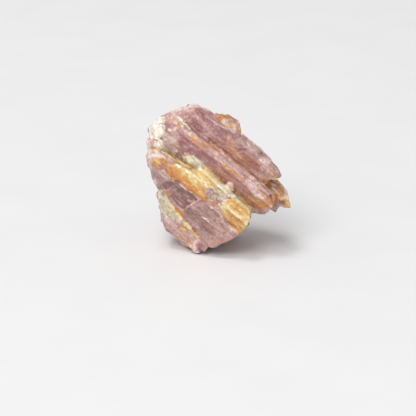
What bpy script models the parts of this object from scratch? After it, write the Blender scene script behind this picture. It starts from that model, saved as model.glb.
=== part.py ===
"""Rough tourmaline: parallel crystals grown together with feldspar and quartz, one solid stone.

Lengths in the tables are millimetres in the bundle's own directions: along runs down the crystals to the
lower right, across is square to them, up and to the right, and toward faces the front.
"""
import math
import random

import bmesh
import bpy
from mathutils import Matrix, Vector
from mathutils.geometry import delaunay_2d_cdt

MM = 0.001

# How the bundle lies, and the level it rests on
SLOPE = math.radians(40.0)
LEAN = math.radians(19.0)
REST_LEVEL = -25.1
REST_BLOCK = 200.0

# Ribs and cross breaks on the long faces
RIB_WIDTH = 2.6
RIB_DEPTH = 0.22
STRETCH_LENGTH = 8.0
STEP_LENGTH = 0.5
STEP_HEIGHT = 0.32
WOBBLE = 0.12

# Broken ends: how far in from the rim their inner points lie, and how far they stand out
BREAK_SPREAD = (0.15, 0.75)
BREAK_REACH = (-0.5, 0.9)
INSIDE_ONLY = 1
CLOSE_TOGETHER = 1e-5

# First seeds, so that the small unevenness is the same on each run
CRYSTAL_SEED = 1
LUMP_SEED = 101

# Looks
MAUVE = (0.47, 0.27, 0.27, 1.0)
ROUGHNESS = 0.45

# Each crystal is a list of long edges, clockwise round its section as seen down the bundle.
# An edge goes from one broken end to the other, some with a shoulder where a slanted nose begins.
FRONT_CRYSTALS = {
    "top_crystal": [
        ((-27.2, 8.0, 0.5), (-22.8, 8.3, 7.6), (13.4, 9.2, 5.6)),
        ((-27.4, 9.2, 1.2), (-22.4, 9.2, 8.8), (13.8, 11.6, 8.4)),
        ((-25.9, 12.0, 0.6), (-20.3, 12.2, 9.2), (13.4, 13.2, 10.4)),
        ((-24.2, 14.3, -1.4), (-20.0, 14.2, 7.4), (12.0, 15.6, 7.4)),
        ((-23.0, 15.5, -5.0), (-19.0, 16.6, -1.0), (9.0, 17.0, -1.0)),
        ((-21.0, 13.5, -12.0), (-18.0, 14.5, -13.0), (7.0, 15.0, -12.0)),
        ((-24.0, 4.0, -12.0), (-20.0, 4.0, -13.0), (9.0, 4.0, -12.0)),
        ((-26.5, 5.5, -2.0), (-22.8, 5.5, 0.0), (12.0, 6.0, 0.0)),
    ],
    "middle_crystal": [
        ((-28.4, -4.0, -1.0), (-24.5, -4.2, 1.8), (17.4, -0.6, 1.4)),
        ((-30.6, 0.5, 1.0), (-25.5, 0.3, 6.8), (20.2, 1.2, 4.6)),
        ((-30.0, 4.6, 2.0), (-24.0, 4.8, 8.5), (20.6, 4.4, 9.4)),
        ((-28.8, 7.4, 1.5), (-23.5, 8.2, 8.0), (19.2, 8.3, 6.2)),
        ((-26.0, 9.0, -2.0), (-22.0, 9.0, -2.0), (18.5, 9.0, -2.0)),
        ((-26.0, 6.0, -12.0), (-22.0, 6.0, -12.0), (14.0, 6.0, -12.0)),
        ((-26.0, -5.0, -12.0), (-22.0, -5.0, -12.0), (12.0, -5.0, -12.0)),
    ],
    "feldspar_band": [
        ((-22.8, -12.0, 1.6), (-20.5, -12.2, 5.2), (6.0, -9.2, 6.4)),
        ((-25.6, -9.8, 1.6), (-22.4, -9.4, 7.4), (7.0, -6.4, 8.0)),
        ((-25.4, -7.4, 2.6), (-22.5, -6.2, 7.8), (8.0, -1.9, 7.6)),
        ((-26.4, -5.2, -1.0), (-23.0, -4.6, 2.6), (8.0, -0.4, 3.4)),
        ((-24.0, -3.0, -6.0), (-22.0, -3.0, -6.0), (6.0, -1.0, -6.0)),
        ((-20.0, -12.0, -8.0), (-18.0, -12.0, -8.0), (4.0, -10.0, -8.0)),
    ],
    "feldspar_blade": [
        ((-10.5, -3.6, 3.0), (-5.5, -4.0, 6.4), (15.2, -4.2, 7.4)),
        ((-10.0, -1.4, 5.2), (-4.5, -1.4, 8.3), (15.8, -2.2, 9.2)),
        ((-9.6, 0.0, 3.0), (-4.6, 0.1, 5.4), (15.0, -0.9, 5.4)),
        ((-8.0, 0.0, -2.0), (-5.0, 0.0, -2.0), (14.0, -1.0, -2.0)),
        ((-8.0, -4.5, -2.0), (-5.0, -4.5, -2.0), (14.0, -4.5, -2.0)),
    ],
    "feldspar_block": [
        ((4.6, -10.2, 3.6), (17.4, -10.6, 4.0)),
        ((5.0, -8.8, 6.2), (18.0, -9.4, 6.4)),
        ((6.2, -5.2, 9.6), (18.0, -5.8, 10.6)),
        ((6.2, -3.0, 8.4), (16.8, -3.2, 9.2)),
        ((5.0, -1.2, 4.6), (15.6, -1.2, 5.2)),
        ((4.0, -1.0, -4.0), (15.0, -1.5, -4.0)),
        ((4.0, -10.0, -4.0), (15.0, -10.0, -4.0)),
    ],
    "dark_crystal": [
        ((-14.6, -16.0, -2.4), (-12.5, -15.9, 1.2), (-1.5, -17.4, 1.8)),
        ((-18.8, -14.3, -2.0), (-16.0, -13.4, 3.4), (-1.0, -13.8, 3.8)),
        ((-21.8, -11.8, -0.5), (-19.0, -10.6, 4.6), (0.0, -9.2, 4.6)),
        ((-18.0, -8.0, -6.0), (-16.0, -8.0, -6.0), (0.0, -8.0, -6.0)),
        ((-14.0, -15.0, -8.0), (-12.0, -15.0, -8.0), (-1.0, -17.0, -8.0)),
    ],
    "lower_crystal": [
        ((-3.4, -17.2, 2.2), (13.2, -20.2, 2.8)),
        ((-2.6, -14.2, 5.0), (16.2, -15.1, 5.2)),
        ((-1.0, -9.0, 6.0), (18.2, -10.0, 6.0)),
        ((-2.0, -8.0, -6.0), (15.0, -9.0, -6.0)),
        ((-4.0, -16.0, -8.0), (12.0, -20.0, -8.0)),
    ],
    "foot_crystal": [
        ((-13.2, -15.8, -2.4), (-11.0, -15.6, 0.4), (12.3, -19.6, 1.8)),
        ((-12.4, -18.6, -3.0), (-9.4, -19.0, 0.0), (12.4, -22.3, 0.4)),
        ((-8.6, -22.2, -5.0), (-5.4, -23.0, -2.0), (10.2, -24.4, -1.6)),
        ((-6.4, -23.8, -8.0), (-2.4, -25.4, -5.5), (6.5, -25.6, -5.0)),
        ((-7.5, -21.0, -16.0), (-4.0, -23.0, -18.0), (4.0, -24.0, -18.0)),
        ((-11.0, -14.0, -12.0), (-9.0, -14.0, -12.0), (10.0, -16.0, -14.0)),
    ],
    "right_crystal": [
        ((8.0, 4.0, 3.0), (22.6, 4.0, 1.5)),
        ((8.0, 6.8, 4.0), (22.6, 6.7, 2.2)),
        ((8.0, 9.0, 3.6), (26.2, 8.7, 1.2)),
        ((8.0, 12.5, 2.4), (22.2, 11.3, 0.0)),
        ((6.0, 15.0, -2.0), (17.8, 13.4, -3.0)),
        ((6.0, 13.0, -10.0), (17.0, 12.0, -9.0)),
        ((8.0, 3.0, -10.0), (17.6, 4.0, -9.0)),
    ],
    "crest_crystal": [
        ((-16.4, 15.2, 3.0), (-3.4, 15.2, 6.4)),
        ((-16.0, 17.2, 0.5), (-4.8, 17.5, 2.5)),
        ((-13.6, 18.8, -2.5), (-6.4, 19.2, -2.0)),
        ((-11.2, 19.8, -6.0), (-8.4, 20.3, -6.0)),
        ((-14.0, 17.4, -11.0), (-5.0, 17.6, -11.0)),
        ((-16.0, 12.0, -9.0), (-2.0, 12.0, -8.0)),
    ],
    "shoulder_block": [
        ((-4.5, 12.0, 8.8), (5.0, 12.2, 10.0)),
        ((-4.0, 15.4, 8.2), (5.0, 15.8, 9.2)),
        ((-3.4, 17.4, 2.5), (4.6, 17.8, 3.5)),
        ((-3.0, 16.5, -6.0), (5.0, 17.0, -6.0)),
        ((-4.0, 12.0, -6.0), (5.0, 12.0, -6.0)),
    ],
    "elbow_block": [
        ((3.6, 11.8, 8.8), (10.2, 11.8, 9.6)),
        ((4.0, 14.8, 10.0), (10.2, 14.6, 9.6)),
        ((4.6, 17.5, 3.4), (9.6, 17.2, 3.6)),
        ((5.0, 16.5, -6.0), (9.0, 16.0, -6.0)),
        ((4.0, 12.0, -6.0), (10.0, 12.0, -6.0)),
    ],
    "corner_block": [
        ((9.0, 11.4, 6.6), (14.6, 11.8, 5.0)),
        ((9.0, 13.8, 9.0), (15.2, 13.7, 7.4)),
        ((9.0, 16.8, 4.5), (14.2, 15.9, 3.5)),
        ((9.0, 16.4, -2.0), (13.6, 15.8, -2.0)),
        ((9.0, 12.0, -6.0), (14.0, 12.0, -6.0)),
    ],
}
REAR_CRYSTALS = {
    "rear_edge_crystal": [
        ((-24.5, 7.0, -2.0), (12.0, 7.0, -2.0)),
        ((-24.0, 13.6, -1.0), (10.0, 15.6, 0.0)),
        ((-21.5, 14.6, -7.0), (9.0, 15.2, -6.5)),
        ((-20.5, 12.6, -13.4), (7.5, 13.4, -12.0)),
        ((-22.0, 9.0, -15.6), (8.0, 9.6, -15.0)),
        ((-23.0, 7.0, -10.0), (10.0, 7.0, -10.0)),
    ],
    "rear_ridge_crystal": [
        ((-27.0, 2.0, -2.0), (16.0, 2.0, -2.0)),
        ((-26.5, 9.0, -4.0), (15.0, 9.5, -4.0)),
        ((-23.5, 10.4, -13.0), (12.5, 10.6, -12.6)),
        ((-21.6, 7.4, -19.4), (11.5, 7.8, -18.2)),
        ((-24.0, 3.6, -18.4), (13.0, 3.4, -17.2)),
        ((-26.0, 2.0, -12.0), (14.0, 2.0, -12.0)),
    ],
    "rear_middle_crystal": [
        ((-25.0, -5.0, -2.0), (14.5, -4.0, -2.0)),
        ((-28.0, 3.0, -2.0), (16.5, 4.0, -2.0)),
        ((-25.6, 4.6, -13.0), (15.0, 4.6, -14.0)),
        ((-22.4, 2.6, -20.6), (14.0, 2.4, -19.6)),
        ((-20.8, -2.0, -21.6), (12.0, -2.4, -20.4)),
        ((-22.6, -5.0, -16.0), (12.5, -5.0, -16.0)),
    ],
    "rear_low_crystal": [
        ((-19.0, -12.0, -2.0), (15.0, -11.0, -2.0)),
        ((-24.0, -4.0, -2.0), (15.5, -3.0, -2.0)),
        ((-22.6, -3.0, -14.0), (15.0, -2.6, -15.0)),
        ((-19.6, -4.4, -18.8), (13.5, -4.6, -18.6)),
        ((-16.4, -9.6, -19.4), (14.5, -9.4, -20.2)),
        ((-15.6, -12.0, -12.0), (14.0, -12.0, -13.0)),
    ],
    "rear_foot_crystal": [
        ((-14.0, -15.0, 0.0), (14.0, -17.0, 1.0)),
        ((-15.0, -8.0, 0.0), (16.0, -8.0, 0.0)),
        ((-13.6, -8.2, -16.0), (16.4, -7.6, -17.0)),
        ((-9.0, -12.0, -21.8), (16.8, -11.6, -22.6)),
        ((-6.6, -17.0, -21.0), (14.0, -17.0, -22.0)),
        ((-10.0, -17.0, -8.0), (13.0, -19.0, -8.0)),
    ],
    "rear_base_crystal": [
        ((-9.0, -20.0, -3.0), (11.0, -22.6, -3.0)),
        ((-10.0, -13.0, -3.0), (13.0, -14.0, -3.0)),
        ((-8.0, -14.0, -16.0), (12.0, -15.0, -18.0)),
        ((-5.2, -18.6, -19.2), (10.0, -19.0, -20.6)),
        ((-3.8, -23.0, -16.4), (8.0, -24.0, -18.0)),
        ((-6.0, -23.2, -8.0), (9.0, -24.0, -8.0)),
    ],
}

# Angular lumps: centre, and radii along, across and toward
LUMPS = {
    "toe_lump": ((8.8, -22.6, -2.8), (2.9, 2.4, 3.6)),
    "quartz_lump": ((-26.6, -0.3, -0.5), (4.0, 4.8, 7.0)),
    "cheek_lump": ((-25.5, -5.0, 0.6), (2.4, 2.4, 3.4)),
    "feldspar_lump": ((-23.6, -4.4, 1.8), (4.6, 2.6, 5.2)),
    "matrix_lump": ((-11.5, -0.8, 4.6), (4.6, 2.0, 2.8)),
    "nub_lump": ((4.6, 1.2, 5.2), (1.8, 1.6, 2.6)),
    "shoulder_lump": ((11.6, 13.6, 5.2), (4.0, 3.0, 3.6)),
    "side_nub": ((-12.2, -17.3, -2.5), (1.6, 1.7, 2.2)),
    "left_corner_lump": ((-21.6, -6.2, -9.0), (3.6, 4.6, 6.0)),
    "top_corner_lump": ((-21.0, 9.0, -11.0), (5.0, 5.6, 5.0)),
    "right_corner_lump": ((14.0, 9.0, -8.0), (5.0, 4.4, 5.6)),
    "back_quartz_lump": ((-6.0, 8.8, -16.6), (6.4, 3.6, 3.4)),
    "back_feldspar_lump": ((2.0, -5.6, -18.6), (7.4, 3.4, 3.4)),
    "back_low_lump": ((-12.0, -12.0, -14.0), (4.6, 4.0, 5.6)),
}
LUMP_CORNERS = 26
LUMP_WOBBLE = 0.1
LUMP_TURN = 0.3
GOLDEN_ANGLE = math.radians(137.508)


def clear_scene():
    for item in list(bpy.data.objects):
        bpy.data.objects.remove(item, do_unlink=True)


def bundle_to_world():
    """Turns along, across and toward into metres with Z up."""
    image_up = Vector((0.0, math.sin(LEAN), math.cos(LEAN)))
    right = Vector((1.0, 0.0, 0.0))
    along = right * math.cos(SLOPE) - image_up * math.sin(SLOPE)
    across = right * math.sin(SLOPE) + image_up * math.cos(SLOPE)
    toward = along.cross(across)
    turn = Matrix((along, across, toward)).transposed()
    return turn.to_4x4() @ Matrix.Scale(MM, 4)


def add_guide(name, mesh_data):
    """Adds a mesh that only takes part in the joins."""
    guide = bpy.data.objects.new(name, mesh_data)
    guide.hide_render = True
    guide.display_type = "WIRE"
    bpy.context.scene.collection.objects.link(guide)
    return guide


def jitter(rng, reach):
    return Vector([rng.uniform(-reach, reach) for _ in range(3)])


def add_ribs(edges):
    """Puts low ribs between the long edges, as on a real crystal's striped sides."""
    ribbed = []
    for index, edge in enumerate(edges):
        following = edges[(index + 1) % len(edges)]
        ribbed.append([Vector(point) for point in edge])
        width = (Vector(following[-1]) - Vector(edge[-1])).length
        count = int(width / RIB_WIDTH)
        for rib in range(1, count + 1):
            side = 1.0 if rib % 2 else -1.0
            line = []
            for near, far in zip(edge, following):
                near, far = Vector(near), Vector(far)
                outward = Vector((0.0, near.z - far.z, far.y - near.y)).normalized()
                line.append(near.lerp(far, rib / (count + 1)) + outward * side * RIB_DEPTH)
            ribbed.append(line)
    return ribbed


def section_rows(edges, rng):
    """Rows of points across the crystal, in steady stretches parted by short steps."""
    rows = []
    for part in range(len(edges[0]) - 1):
        length = (edges[0][part + 1] - edges[0][part]).length
        stretches = max(1, round(length / STRETCH_LENGTH))
        for stretch in range(stretches):
            lift = [rng.uniform(-STEP_HEIGHT, STEP_HEIGHT) for _ in edges]
            first = stretch / stretches
            last = (stretch + 1) / stretches
            gap = STEP_LENGTH / length / 2
            for place in (first + gap, last - gap):
                rows.append(section_row(edges, part, place, lift, rng))
    return rows


def section_row(edges, part, place, lift, rng):
    points = [edge[part].lerp(edge[part + 1], place) for edge in edges]
    middle = sum(points, Vector()) / len(points)
    row = []
    for point, amount in zip(points, lift):
        outward = point - middle
        outward.x = 0.0
        row.append(point + outward.normalized() * amount + jitter(rng, WOBBLE))
    return row


def close_end(shape, ring, outward, rng):
    """Closes a ring with a rough break: flat facets between points pushed in and out."""
    middle = sum((vert.co for vert in ring), Vector()) / len(ring)
    corners = list(ring)
    for vert in ring[::2]:
        place = middle.lerp(vert.co, rng.uniform(*BREAK_SPREAD))
        place.x += outward * rng.uniform(*BREAK_REACH)
        corners.append(shape.verts.new(place))
    flat = [vert.co.yz for vert in corners]
    outline = [list(range(len(ring)))]
    facets = delaunay_2d_cdt(flat, [], outline, INSIDE_ONLY, CLOSE_TOGETHER)[2]
    for facet in facets:
        shape.faces.new([corners[index] for index in facet])


def crystal_mesh(name, edges, rng):
    """Lofts a ribbed prism along its edges, with cross steps and two broken ends."""
    shape = bmesh.new()
    rows = section_rows(add_ribs(edges), rng)
    rings = [[shape.verts.new(point) for point in row] for row in rows]
    for near, far in zip(rings, rings[1:]):
        for index in range(len(near)):
            after = (index + 1) % len(near)
            shape.faces.new((near[index], near[after], far[after], far[index]))
    close_end(shape, rings[0], -1.0, rng)
    close_end(shape, rings[-1], 1.0, rng)
    return finish_mesh(name, shape)


def lump_mesh(name, centre, radii, rng):
    """Makes an angular lump, the hull of points spread over an uneven ball."""
    shape = bmesh.new()
    for corner in range(LUMP_CORNERS):
        height = 1.0 - 2.0 * (corner + 0.5) / LUMP_CORNERS
        around = corner * GOLDEN_ANGLE + rng.uniform(-LUMP_TURN, LUMP_TURN)
        width = math.sqrt(1.0 - height * height)
        ball = Vector((width * math.cos(around), width * math.sin(around), height))
        ball *= 1.0 + rng.uniform(-LUMP_WOBBLE, LUMP_WOBBLE)
        shape.verts.new(Vector(centre) + Vector([value * radius for value, radius in zip(ball, radii)]))
    hull = bmesh.ops.convex_hull(shape, input=shape.verts)
    spare = [item for item in hull["geom_interior"] if isinstance(item, bmesh.types.BMVert)]
    bmesh.ops.delete(shape, geom=spare, context="VERTS")
    return finish_mesh(name, shape)


def finish_mesh(name, shape):
    """Turns a shape in bundle millimetres into a closed mesh in metres."""
    bmesh.ops.transform(shape, matrix=bundle_to_world(), verts=shape.verts)
    bmesh.ops.triangulate(shape, faces=shape.faces)
    bmesh.ops.recalc_face_normals(shape, faces=shape.faces)
    mesh_data = bpy.data.meshes.new(name)
    shape.to_mesh(mesh_data)
    shape.free()
    return mesh_data


def rest_block():
    """Everything below the level the stone rests on."""
    shape = bmesh.new()
    bmesh.ops.create_cube(shape, size=REST_BLOCK * MM)
    bmesh.ops.translate(shape, vec=(0.0, 0.0, (REST_LEVEL - REST_BLOCK / 2) * MM), verts=shape.verts)
    mesh_data = bpy.data.meshes.new("below_rest")
    shape.to_mesh(mesh_data)
    shape.free()
    return add_guide("below_rest", mesh_data)


def add_boolean(target, operand, operation):
    step = target.modifiers.new(operand.name, "BOOLEAN")
    step.operation = operation
    step.solver = "EXACT"
    step.object = operand


def stone_material():
    finish = bpy.data.materials.new("tourmaline_mauve")
    finish.use_nodes = True
    shader = finish.node_tree.nodes["Principled BSDF"]
    shader.inputs["Base Color"].default_value = MAUVE
    shader.inputs["Roughness"].default_value = ROUGHNESS
    return finish


def settle(stone):
    """Fixes the joined mesh and moves its box's bottom centre to the origin."""
    graph = bpy.context.evaluated_depsgraph_get()
    joined = bpy.data.meshes.new_from_object(stone.evaluated_get(graph))
    stone.modifiers.clear()
    stone.data = joined
    corners = [vert.co for vert in joined.vertices]
    low = Vector([min(point[axis] for point in corners) for axis in range(3)])
    high = Vector([max(point[axis] for point in corners) for axis in range(3)])
    middle = (low + high) / 2
    joined.transform(Matrix.Translation((-middle.x, -middle.y, -low.z)))


def build():
    clear_scene()
    pieces = []
    crystals = {**FRONT_CRYSTALS, **REAR_CRYSTALS}
    for seed, (name, edges) in enumerate(crystals.items(), start=CRYSTAL_SEED):
        pieces.append(add_guide(name, crystal_mesh(name, edges, random.Random(seed))))
    for seed, (name, (centre, radii)) in enumerate(LUMPS.items(), start=LUMP_SEED):
        pieces.append(add_guide(name, lump_mesh(name, centre, radii, random.Random(seed))))
    stone = bpy.data.objects.new("tourmaline", pieces[0].data.copy())
    bpy.context.scene.collection.objects.link(stone)
    for piece in pieces[1:]:
        add_boolean(stone, piece, "UNION")
    add_boolean(stone, rest_block(), "DIFFERENCE")
    settle(stone)
    stone.data.materials.clear()
    stone.data.materials.append(stone_material())


build()
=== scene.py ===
"""Dresses the rough tourmaline: its fine broken surface, its minerals, a pale floor and soft light."""

import itertools
import math

import bpy
import numpy as np
from mathutils import Matrix, Vector
from mathutils.bvhtree import BVHTree


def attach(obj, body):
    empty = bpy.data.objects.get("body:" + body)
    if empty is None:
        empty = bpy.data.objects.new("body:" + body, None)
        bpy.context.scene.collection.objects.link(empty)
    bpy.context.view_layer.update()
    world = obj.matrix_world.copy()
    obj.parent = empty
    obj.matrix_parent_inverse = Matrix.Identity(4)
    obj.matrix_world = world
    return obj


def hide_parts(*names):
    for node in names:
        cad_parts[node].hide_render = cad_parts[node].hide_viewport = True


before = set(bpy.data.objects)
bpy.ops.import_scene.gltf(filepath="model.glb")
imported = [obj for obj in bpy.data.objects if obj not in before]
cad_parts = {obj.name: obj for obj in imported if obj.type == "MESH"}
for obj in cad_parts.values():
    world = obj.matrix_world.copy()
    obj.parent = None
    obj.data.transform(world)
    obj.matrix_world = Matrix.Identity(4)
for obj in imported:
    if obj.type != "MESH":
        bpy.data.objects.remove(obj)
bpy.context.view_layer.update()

MM = 0.001

# The bundle's own directions, as in the part: along runs down the crystals to the lower right
SLOPE = math.radians(40.0)
LEAN = math.radians(19.0)
BUNDLE_ORIGIN = Vector((0.089, -4.952, 25.1)) * MM
RIGHT = Vector((1.0, 0.0, 0.0))
UP = Vector((0.0, math.sin(LEAN), math.cos(LEAN)))
TOWARD = Vector((0.0, -math.cos(LEAN), math.sin(LEAN)))
ALONG = RIGHT * math.cos(SLOPE) - UP * math.sin(SLOPE)
ACROSS = RIGHT * math.sin(SLOPE) + UP * math.cos(SLOPE)
BUNDLE_AXES = np.array((ALONG, ACROSS, TOWARD))

# The camera, and the size of one picture point at the bundle's origin
PICTURE_POINTS = 416
POINT_SIZE = 0.35 * MM
CAMERA_DISTANCE = 0.8
SENSOR = 36.0
AIM = BUNDLE_ORIGIN - RIGHT * 3.85 * MM - UP * 9.8 * MM

# How far the minerals' edges wander, in picture points, and as a share of a narrow stroke's width
BEND = 1.9
BEND_SHARE = 0.3
# How soft an area's edge is and a stroke's, in picture points, and what a stroke's width adds to it
AREA_EDGE = 4.0
STROKE_EDGE = 0.7
EDGE_SHARE = 0.2

# The fine mesh: its faces' size, how often it is evened out, and how often the evened copies are that its
# valleys and its ridges are measured against
VOXEL = 0.34 * MM
ROUND_EDGES = 2
VALLEY_ROUNDS = 40
RIDGE_ROUNDS = 8
# What the camera sees: how far off the surface a sight line starts, and how often the result is evened out
CAMERA_GAP = 0.4 * MM
SMOOTH_SEEN = 5
# How far all of the surface moves out, in millimetres, for what the rounding took off
LIFT = 0.12

# Minerals: colour family, tone from 0 for its darkest to 1 for its palest, and how rusty it is
FAMILIES = ("pink", "plum", "ochre", "quartz")
MINERALS = {
    "crimson": ("pink", 0.05, 0.0),
    "mauve": ("pink", 0.34, 0.0),
    "rose": ("pink", 0.6, 0.0),
    "frost": ("pink", 0.9, 0.0),
    "russet": ("pink", 0.12, 0.8),
    "copper": ("pink", 0.45, 1.0),
    "salmon": ("pink", 0.55, 0.4),
    "apricot": ("pink", 0.98, 0.8),
    "plum": ("plum", 0.08, 0.0),
    "dusk": ("plum", 0.4, 0.0),
    "ash": ("plum", 0.75, 0.0),
    "amber": ("ochre", 0.04, 0.0),
    "honey": ("ochre", 0.5, 0.0),
    "cream": ("ochre", 0.86, 0.0),
    "umber": ("quartz", 0.02, 0.2),
    "olive": ("quartz", 0.36, 0.0),
    "grey": ("quartz", 0.6, 0.0),
    "milky": ("quartz", 0.8, 0.0),
    "white": ("quartz", 0.96, 0.0),
}

# Noises that the patches follow: size along, across and toward in millimetres, and seed
NOISES = {"narrow": ((9.0, 3.5, 3.5), 21), "wide": ((12.0, 4.5, 4.5), 25)}
# Patches of minerals all round: mineral, strength, high side (1) or low side (-1), of which noise, and the
# levels between which the edge lies
PATCHES = [
    ("dusk", 0.6, 1, "wide", 0.1, 0.6),
    ("salmon", 0.7, -1, "wide", 0.2, 0.7),
    ("crimson", 0.8, 1, "narrow", 0.1, 0.6),
    ("rose", 0.8, -1, "narrow", 0.1, 0.4),
    ("frost", 0.8, -1, "narrow", 0.4, 0.8),
]

# Minerals down in the valleys: mineral, strength, raggedness, and the depths between which the edge lies
FILLINGS = [("copper", 0.7, 0.2, 0.1, 0.4), ("honey", 0.9, 0.3, 0.35, 0.7)]

# Minerals inside the stone: mineral, radius in millimetres, and points along, across, toward
BODIES = {
    "quartz_head": ("milky", 4, [(-27, -0.6, -3), (-26.4, -1, -7)]),
    "head_grains": ("grey", 3, [(-25, -0.6, -9), (-25, 4, -13)]),
    "head_olive": ("olive", 2.2, [(-25, 2, -14), (-24, -3, -15)]),
    "back_rust": ("copper", 3, [(-12, 8.6, -17), (2, 7, -17)]),
    "back_grains": ("grey", 2.2, [(-12, 9.2, -17), (-2, 7.6, -17)]),
    "back_olive": ("olive", 1.6, [(-7, 8.8, -18), (3, 6.8, -18)]),
    "low_rust": ("copper", 3.2, [(-9, -4.4, -19), (6, -5.4, -19)]),
    "back_feldspar": ("honey", 2.2, [(-6, -6, -19), (7, -5, -19)]),
    "back_cream": ("cream", 2, [(0, -7, -20), (3, -5.6, -20)]),
    "feldspar_seam": ("honey", 1.2, [(-16, 11, -14), (-8, 11.8, -14)]),
    "far_seam": ("copper", 1.6, [(-2, 11.4, -14), (8, 10.8, -14)]),
    "low_seam": ("amber", 1.2, [(-15, -4.4, -20), (-9, -5, -20)]),
    "base_seam": ("cream", 1.4, [(-4, -17.4, -21), (5, -17, -22)]),
    "corner_quartz": ("frost", 5, [(-21.6, -6.2, -10), (-20, -8, -12)]),
    "corner_stain": ("copper", 3.6, [(14, 9.4, -9), (15, 8, -12)]),
    "low_grains": ("olive", 3.2, [(-12.4, -13, -15), (-12, -11, -17)]),
}
# How far their edges wander and how soft they are, in millimetres
BODY_RAG = 1.3
BODY_EDGE = 1.2

# Areas as the camera sees them: mineral, strength, and corners in picture points
AREAS = {
    "crown_facet": ("rose", 0.7, [(172, 110), (196, 103), (201, 110), (197, 119), (184, 120), (176, 116)]),
    "crest": ("copper", 0.8, [(214, 112), (224, 112), (236, 117), (243, 126), (244, 134), (236, 134),
        (228, 129), (220, 126), (214, 118)]),
    "left_top": ("rose", 0.9, [(161, 118), (176, 111), (183, 118), (183, 129), (172, 131), (163, 127)]),
    "head_quartz": ("white", 0.9, [(150, 118), (161, 114), (165, 119), (162, 127), (161, 134), (160, 139),
        (156, 141), (148, 141), (147, 133)]),
    "head_matrix": ("white", 0.7, [(160, 129), (168, 131), (171, 138), (168, 144), (160, 146), (156, 141)]),
    "strip": ("frost", 0.7, [(176, 115), (184, 119), (192, 128), (206, 142), (223, 156), (216, 157),
        (204, 148), (192, 139), (184, 131), (176, 121)]),
    "left_pale": ("frost", 0.7, [(164, 134), (176, 134), (180, 142), (178, 150), (168, 150), (162, 142)]),
    "groove_face": ("copper", 0.7, [(222, 143), (232, 140), (246, 152), (256, 163), (263, 180),
        (252, 174), (236, 160), (222, 149)]),
    "upper_right": ("crimson", 0.7, [(218, 127), (232, 131), (238, 140), (234, 147), (224, 143), (214, 136)]),
    "nose": ("dusk", 0.8, [(236, 134), (250, 140), (262, 150), (272, 158), (262, 166), (246, 156),
        (236, 146)]),
    "shoulder": ("salmon", 0.6, [(262, 157), (272, 159), (281, 172), (281, 180), (270, 181), (262, 174)]),
    # an orange stain, painted paler as bounce light in the shaded hollow
    "cavity": ("apricot", 1, [(262, 181), (268, 184), (281, 178), (283, 185), (288, 194), (288, 201),
        (276, 201), (270, 194), (264, 188)]),
    "rod_face": ("rose", 1, [(214, 153), (226, 155), (242, 167), (258, 180), (273, 193), (272, 199),
        (264, 204), (252, 197), (244, 187), (234, 175), (222, 164)]),
    "rod_flank": ("russet", 0.6, [(206, 151), (214, 158), (228, 170), (238, 181), (246, 190), (258, 204),
        (252, 210), (242, 199), (232, 188), (224, 184), (212, 170), (203, 162)]),
    "rod_end": ("copper", 0.7, [(250, 200), (262, 204), (276, 194), (278, 206), (266, 214), (252, 211)]),
    "gap_matrix": ("grey", 1, [(182, 156), (190, 152), (199, 156), (206, 164), (204, 171), (198, 172),
        (190, 168), (184, 164)]),
    "band_frost": ("frost", 0.9, [(147, 152), (156, 150), (164, 154), (173, 160), (172, 163), (164, 162),
        (157, 161), (149, 161)]),
    "band_stain": ("honey", 0.8, [(153, 161), (160, 161), (167, 162), (170, 165), (170, 173), (166, 172),
        (160, 171), (153, 170)]),
    "band": ("honey", 1, [(166, 160), (176, 162), (188, 167), (200, 169), (204, 166), (212, 172),
        (222, 181), (232, 191), (222, 190), (209, 191), (204, 201), (198, 197), (190, 191), (182, 185),
        (176, 182), (169, 174)]),
    "band_heart": ("cream", 0.6, [(183, 174), (192, 169), (202, 173), (208, 182), (203, 187), (192, 185)]),
    "band_matrix": ("olive", 0.8, [(206, 189), (214, 187), (222, 189), (231, 200), (226, 206), (218, 207),
        (208, 203), (205, 196)]),
    "block": ("honey", 1, [(222, 207), (228, 198), (240, 198), (252, 210), (251, 223), (246, 229),
        (241, 235), (235, 230), (227, 222), (221, 215)]),
    # painted shade: darker amber on the block's lower facet, which faces down
    "block_side": ("amber", 0.5, [(221, 213), (228, 209), (244, 223), (241, 234), (233, 228)]),
    "dark_upper": ("dusk", 0.8, [(150, 162), (160, 170), (172, 180), (184, 185), (192, 190), (180, 188),
        (170, 194), (160, 188), (153, 178)]),
    "dark_block": ("plum", 1, [(168, 194), (180, 186), (192, 190), (200, 199), (189, 206), (184, 211),
        (177, 206)]),
    "lower_face": ("dusk", 1, [(184, 211), (200, 200), (212, 204), (222, 217), (232, 228), (226, 240),
        (210, 244), (196, 232)]),
    "foot_matrix": ("grey", 0.8, [(156, 189), (165, 189), (170, 195), (173, 201), (175, 207), (170, 216),
        (161, 216), (159, 205)]),
    "foot_grains": ("olive", 0.8, [(165, 208), (174, 205), (182, 213), (186, 221), (180, 225), (172, 222),
        (166, 216)]),
    "foot_rose": ("rose", 0.7, [(160, 216), (168, 218), (176, 223), (178, 229), (172, 232), (165, 228),
        (161, 222)]),
    "foot_salmon": ("salmon", 0.9, [(173, 231), (186, 229), (197, 238), (193, 245), (180, 242), (171, 236)]),
}

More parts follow.
